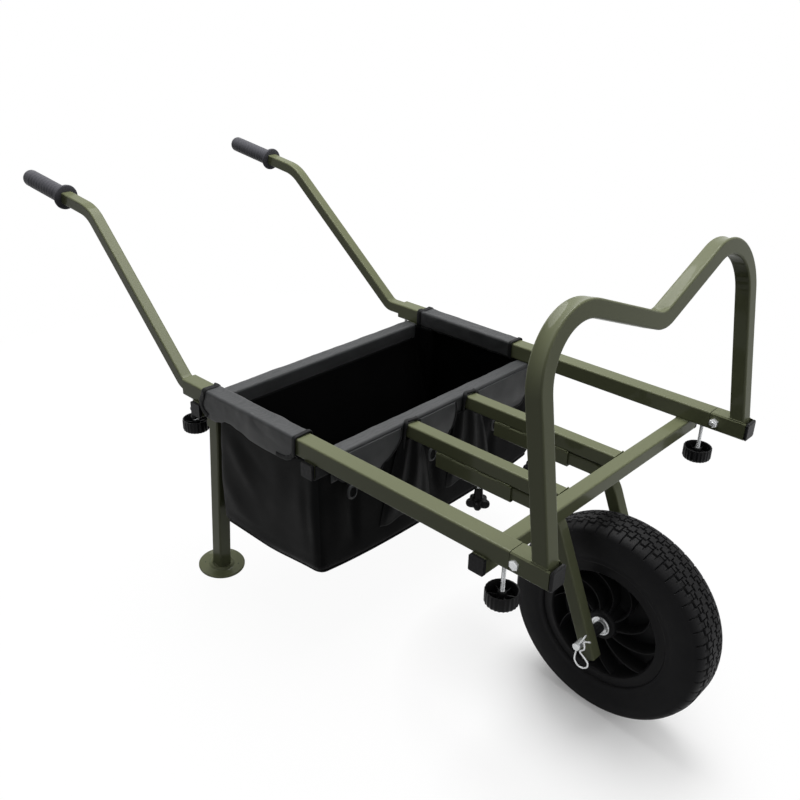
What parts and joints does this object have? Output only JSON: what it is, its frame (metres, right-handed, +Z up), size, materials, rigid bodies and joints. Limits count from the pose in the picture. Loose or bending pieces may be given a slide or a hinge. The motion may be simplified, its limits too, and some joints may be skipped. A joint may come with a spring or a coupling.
{
  "type": "fishing trolley",
  "caption": "Barrow for fishing tackle: square tube chassis on one spoked wheel and two legs, hanging cargo bag, bent front bar and pull-out push handles.",
  "frame": {"origin": "middle of the footprint's bounds, on the ground that the wheel and the feet stand on", "axes": "+Z up; +X the trolley's right side, seen by the person who pushes it; +Y to the rear, towards the push handles; -Y forward, to the wheel"},
  "size_m": [0.634, 1.4932, 0.743],
  "materials": {
    "paint": "olive gloss powder coat",
    "zinc": "bright zinc plate",
    "plastic": "black moulded plastic",
    "rim": "black moulded rim",
    "tyre": "black rubber",
    "grip": "dark grey moulded grip",
    "cloth": "coated charcoal fabric"
  },
  "bodies": {
    "frame": {"side_rail_left": "paint", "side_rail_right": "paint", "front_crossbar": "paint", "front_cap_left": "plastic", "front_cap_right": "plastic", "bag_crossbar": "paint", "bag_cap_left": "plastic", "bag_cap_right": "plastic", "rear_crossbar": "paint", "rear_cap_left": "plastic", "rear_cap_right": "plastic", "inner_rail_left": "paint", "inner_rail_right": "paint", "fork_socket_left": "paint", "fork_socket_right": "paint", "leg_socket_left": "paint", "leg_socket_right": "paint", "bag": "cloth"},
    "fork": {"fork_leg_left": "paint", "fork_leg_right": "paint", "axle_pin": "zinc", "axle_clip": "zinc", "axle_spacer_left": "plastic", "axle_spacer_right": "plastic"},
    "wheel": {"tyre": "tyre", "rim": "rim", "bearing_left": "zinc", "bearing_right": "zinc"},
    "bar": {"front_bar": "paint", "base_tube_left": "paint", "bar_spigot_left": "paint", "bar_bolt_left": "zinc", "base_cap_left": "plastic", "base_tube_right": "paint", "bar_spigot_right": "paint", "bar_bolt_right": "zinc", "base_cap_right": "plastic"},
    "handle_body_left": {"handle_left": "paint", "grip_left": "grip"},
    "handle_body_right": {"handle_right": "paint", "grip_right": "grip"},
    "leg_body_left": {"leg_left": "paint", "foot_left": "paint"},
    "leg_body_right": {"leg_right": "paint", "foot_right": "paint"},
    "fork_clamp_left": {"fork_knob_left": "plastic", "fork_stud_left": "zinc"},
    "fork_clamp_right": {"fork_knob_right": "plastic", "fork_stud_right": "zinc"},
    "leg_clamp_left": {"leg_knob_left": "plastic"},
    "leg_clamp_right": {"leg_knob_right": "plastic"},
    "bar_clamp_left": {"bar_knob_left": "plastic", "bar_stud_left": "zinc"},
    "bar_clamp_right": {"bar_knob_right": "plastic", "bar_stud_right": "zinc"},
    "handle_clamp_left": {"handle_knob_left": "plastic", "handle_stud_left": "zinc"},
    "handle_clamp_right": {"handle_knob_right": "plastic", "handle_stud_right": "zinc"}
  },
  "joints": [
    {"name": "fork_slide", "type": "slide", "parent": "frame", "child": "fork", "axis": [0, -0.9962, 0.0871], "range_m": [-0.03, 0.08]},
    {"name": "wheel_spin", "type": "hinge", "parent": "fork", "child": "wheel", "pos_m": [0, -0.5766, 0.17], "axis": [1, 0, 0], "continuous": true},
    {"name": "bar_slide", "type": "slide", "parent": "frame", "child": "bar", "axis": [0, -0.9962, 0.0871], "range_m": [0, 0.06]},
    {"name": "handle_slide_left", "type": "slide", "parent": "frame", "child": "handle_body_left", "axis": [0, 0.9962, -0.0871], "range_m": [0, 0.2]},
    {"name": "handle_slide_right", "type": "slide", "parent": "frame", "child": "handle_body_right", "axis": [0, 0.9962, -0.0871], "range_m": [-0.026, 0.174]},
    {"name": "leg_slide_left", "type": "slide", "parent": "frame", "child": "leg_body_left", "axis": [0, 0, -1], "range_m": [0, 0.025]},
    {"name": "leg_slide_right", "type": "slide", "parent": "frame", "child": "leg_body_right", "axis": [0, 0, -1], "range_m": [0, 0.025]},
    {"name": "fork_screw_left", "type": "hinge", "parent": "frame", "child": "fork_clamp_left", "pos_m": [-0.077, -0.33991, 0.29385], "axis": [0, -0.0871, -0.9962], "range_deg": [0, 360]},
    {"name": "fork_screw_right", "type": "hinge", "parent": "frame", "child": "fork_clamp_right", "pos_m": [0.077, -0.33991, 0.29385], "axis": [0, -0.0871, -0.9962], "range_deg": [0, 360]},
    {"name": "leg_screw_left", "type": "hinge", "parent": "frame", "child": "leg_clamp_left", "pos_m": [-0.274, 0.14358, 0.3128], "axis": [0, 0.9962, -0.0871], "range_deg": [0, 360]},
    {"name": "leg_screw_right", "type": "hinge", "parent": "frame", "child": "leg_clamp_right", "pos_m": [0.274, 0.14358, 0.3128], "axis": [0, 0.9962, -0.0871], "range_deg": [0, 360]},
    {"name": "bar_screw_left", "type": "hinge", "parent": "frame", "child": "bar_clamp_left", "pos_m": [-0.274, -0.53428, 0.34397], "axis": [0, -0.0871, -0.9962], "range_deg": [0, 360]},
    {"name": "bar_screw_right", "type": "hinge", "parent": "frame", "child": "bar_clamp_right", "pos_m": [0.274, -0.53428, 0.34397], "axis": [0, -0.0871, -0.9962], "range_deg": [0, 360]},
    {"name": "handle_screw_left", "type": "hinge", "parent": "frame", "child": "handle_clamp_left", "pos_m": [-0.274, 0.15283, 0.28087], "axis": [0, -0.0871, -0.9962], "range_deg": [0, 360]},
    {"name": "handle_screw_right", "type": "hinge", "parent": "frame", "child": "handle_clamp_right", "pos_m": [0.274, 0.15283, 0.28087], "axis": [0, -0.0871, -0.9962], "range_deg": [0, 360]}
  ]
}
